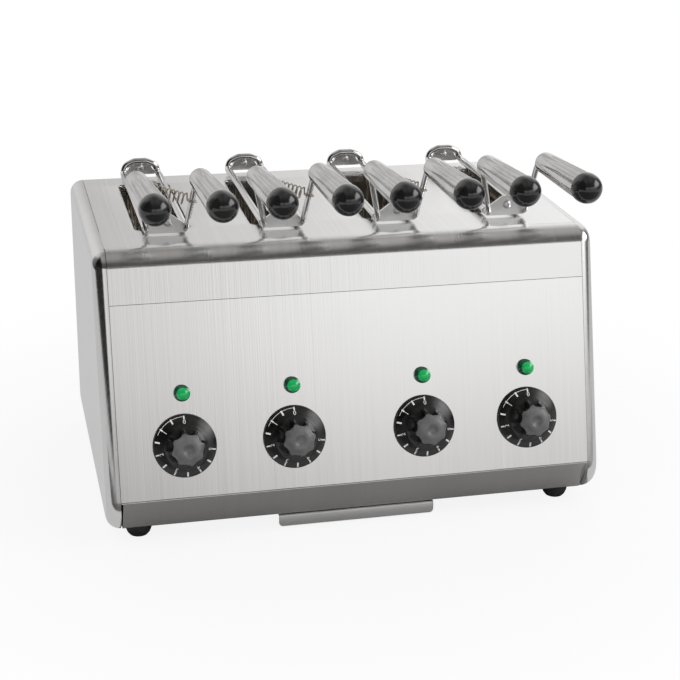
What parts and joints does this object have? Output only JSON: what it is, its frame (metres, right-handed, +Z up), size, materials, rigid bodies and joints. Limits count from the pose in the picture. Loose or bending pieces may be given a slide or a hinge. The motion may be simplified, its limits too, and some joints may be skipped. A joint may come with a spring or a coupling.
{
  "type": "tong toaster",
  "caption": "Stainless steel slot toaster with a leaning front, timer dials, pilot lamps, a crumb tray and lift-out sandwich tongs.",
  "frame": {"origin": "middle of the bounding box's footprint, on the table", "axes": "+X to the right seen from the front, +Y to the back, +Z up"},
  "size_m": [0.37, 0.2884, 0.2655],
  "materials": {
    "steel": "brushed",
    "inner_steel": "dull",
    "chrome": "polished",
    "dial": "satin black with white marks",
    "cap": "glossy black",
    "lens": "clear green dome",
    "rubber": "matte",
    "mica": "matte board",
    "ribbon": "oxidised heating ribbon",
    "white_plastic": "moulded",
    "spring_wire": "spring steel"
  },
  "bodies": {
    "casing": {"top_cover": "steel", "front_panel": "steel", "left_side_panel": "steel", "right_side_panel": "steel", "back_panel": "steel", "base_plate": "inner_steel", "tray_runners": "inner_steel", "feet": "rubber", "front_bulkhead": "inner_steel", "rear_bulkhead": "inner_steel", "mica_boards": "mica", "heating_ribbons": "ribbon", "timers": "white_plastic", "lamp_lenses": "lens", "lamp_holders": "white_plastic", "cable_gland": "rubber", "terminal_block": "white_plastic", "casing_screws": "chrome"},
    "crumb_tray": {"crumb_tray": "steel"},
    "dial_1": {"knob_1": "dial", "timer_shaft_1": "chrome"},
    "dial_2": {"knob_2": "dial", "timer_shaft_2": "chrome"},
    "dial_3": {"knob_3": "dial", "timer_shaft_3": "chrome"},
    "dial_4": {"knob_4": "dial", "timer_shaft_4": "chrome"},
    "tong_1": {"tong_1_frame": "chrome", "tong_1_spring": "spring_wire"},
    "tong_1_left": {"tong_1_left_jaw": "chrome", "tong_1_left_grip": "chrome", "tong_1_left_cap": "cap"},
    "tong_1_right": {"tong_1_right_jaw": "chrome", "tong_1_right_grip": "chrome", "tong_1_right_cap": "cap"},
    "tong_2": {"tong_2_frame": "chrome", "tong_2_spring": "spring_wire"},
    "tong_2_left": {"tong_2_left_jaw": "chrome", "tong_2_left_grip": "chrome", "tong_2_left_cap": "cap"},
    "tong_2_right": {"tong_2_right_jaw": "chrome", "tong_2_right_grip": "chrome", "tong_2_right_cap": "cap"},
    "tong_3": {"tong_3_frame": "chrome", "tong_3_spring": "spring_wire"},
    "tong_3_left": {"tong_3_left_jaw": "chrome", "tong_3_left_grip": "chrome", "tong_3_left_cap": "cap"},
    "tong_3_right": {"tong_3_right_jaw": "chrome", "tong_3_right_grip": "chrome", "tong_3_right_cap": "cap"},
    "tong_4": {"tong_4_frame": "chrome", "tong_4_spring": "spring_wire"},
    "tong_4_left": {"tong_4_left_jaw": "chrome", "tong_4_left_grip": "chrome", "tong_4_left_cap": "cap"},
    "tong_4_right": {"tong_4_right_jaw": "chrome", "tong_4_right_grip": "chrome", "tong_4_right_cap": "cap"}
  },
  "joints": [
    {"name": "tray_slide", "type": "slide", "parent": "casing", "child": "crumb_tray", "axis": [0, -1, 0], "range_m": [0, 0.2]},
    {"name": "dial_1_turn", "type": "hinge", "parent": "casing", "child": "dial_1", "pos_m": [-0.1277, -0.11609, 0.0753], "axis": [0, 0.9659, -0.2588], "range_deg": [0, 260]},
    {"name": "dial_2_turn", "type": "hinge", "parent": "casing", "child": "dial_2", "pos_m": [-0.0484, -0.11609, 0.0753], "axis": [0, 0.9659, -0.2588], "range_deg": [0, 260]},
    {"name": "dial_3_turn", "type": "hinge", "parent": "casing", "child": "dial_3", "pos_m": [0.0484, -0.11609, 0.0753], "axis": [0, 0.9659, -0.2588], "range_deg": [0, 260]},
    {"name": "dial_4_turn", "type": "hinge", "parent": "casing", "child": "dial_4", "pos_m": [0.1277, -0.11609, 0.0753], "axis": [0, 0.9659, -0.2588], "range_deg": [0, 260]},
    {"name": "tong_1_lift", "type": "slide", "parent": "casing", "child": "tong_1", "axis": [0, 0, 1], "range_m": [0, 0.13]},
    {"name": "tong_1_left_hinge", "type": "hinge", "parent": "tong_1", "child": "tong_1_left", "pos_m": [-0.14225, 0.03418, 0.2133], "axis": [0, 1, 0], "range_deg": [0, 8], "stiffness_Nm_per_rad": 0.6, "springref_deg": -14.32, "deforming": ["tong_1_spring"]},
    {"name": "tong_1_right_hinge", "type": "hinge", "parent": "tong_1", "child": "tong_1_right", "pos_m": [-0.11425, 0.03418, 0.2133], "axis": [0, -1, 0], "range_deg": [0, 8], "stiffness_Nm_per_rad": 0.6, "springref_deg": -14.32},
    {"name": "tong_2_lift", "type": "slide", "parent": "casing", "child": "tong_2", "axis": [0, 0, 1], "range_m": [0, 0.13]},
    {"name": "tong_2_left_hinge", "type": "hinge", "parent": "tong_2", "child": "tong_2_left", "pos_m": [-0.05675, 0.03418, 0.2133], "axis": [0, 1, 0], "range_deg": [0, 8], "stiffness_Nm_per_rad": 0.6, "springref_deg": -14.32, "deforming": ["tong_2_spring"]},
    {"name": "tong_2_right_hinge", "type": "hinge", "parent": "tong_2", "child": "tong_2_right", "pos_m": [-0.02875, 0.03418, 0.2133], "axis": [0, -1, 0], "range_deg": [0, 8], "stiffness_Nm_per_rad": 0.6, "springref_deg": -14.32},
    {"name": "tong_3_lift", "type": "slide", "parent": "casing", "child": "tong_3", "axis": [0, 0, 1], "range_m": [0, 0.13]},
    {"name": "tong_3_left_hinge", "type": "hinge", "parent": "tong_3", "child": "tong_3_left", "pos_m": [0.02875, 0.03418, 0.2133], "axis": [0, 1, 0], "range_deg": [0, 8], "stiffness_Nm_per_rad": 0.6, "springref_deg": -14.32, "deforming": ["tong_3_spring"]},
    {"name": "tong_3_right_hinge", "type": "hinge", "parent": "tong_3", "child": "tong_3_right", "pos_m": [0.05675, 0.03418, 0.2133], "axis": [0, -1, 0], "range_deg": [0, 8], "stiffness_Nm_per_rad": 0.6, "springref_deg": -14.32},
    {"name": "tong_4_lift", "type": "slide", "parent": "casing", "child": "tong_4", "axis": [0, 0, 1], "range_m": [0, 0.13]},
    {"name": "tong_4_left_hinge", "type": "hinge", "parent": "tong_4", "child": "tong_4_left", "pos_m": [0.11425, 0.03418, 0.2133], "axis": [0, 1, 0], "range_deg": [0, 8], "stiffness_Nm_per_rad": 0.6, "springref_deg": -14.32, "deforming": ["tong_4_spring"]},
    {"name": "tong_4_right_hinge", "type": "hinge", "parent": "tong_4", "child": "tong_4_right", "pos_m": [0.14225, 0.03418, 0.2133], "axis": [0, -1, 0], "range_deg": [0, 8], "stiffness_Nm_per_rad": 0.6, "springref_deg": -14.32}
  ],
  "couplings": [
    {"joint": "tong_1_right_hinge", "follows": "tong_1_left_hinge", "ratio": 1},
    {"joint": "tong_2_right_hinge", "follows": "tong_2_left_hinge", "ratio": 1},
    {"joint": "tong_3_right_hinge", "follows": "tong_3_left_hinge", "ratio": 1},
    {"joint": "tong_4_right_hinge", "follows": "tong_4_left_hinge", "ratio": 1}
  ]
}
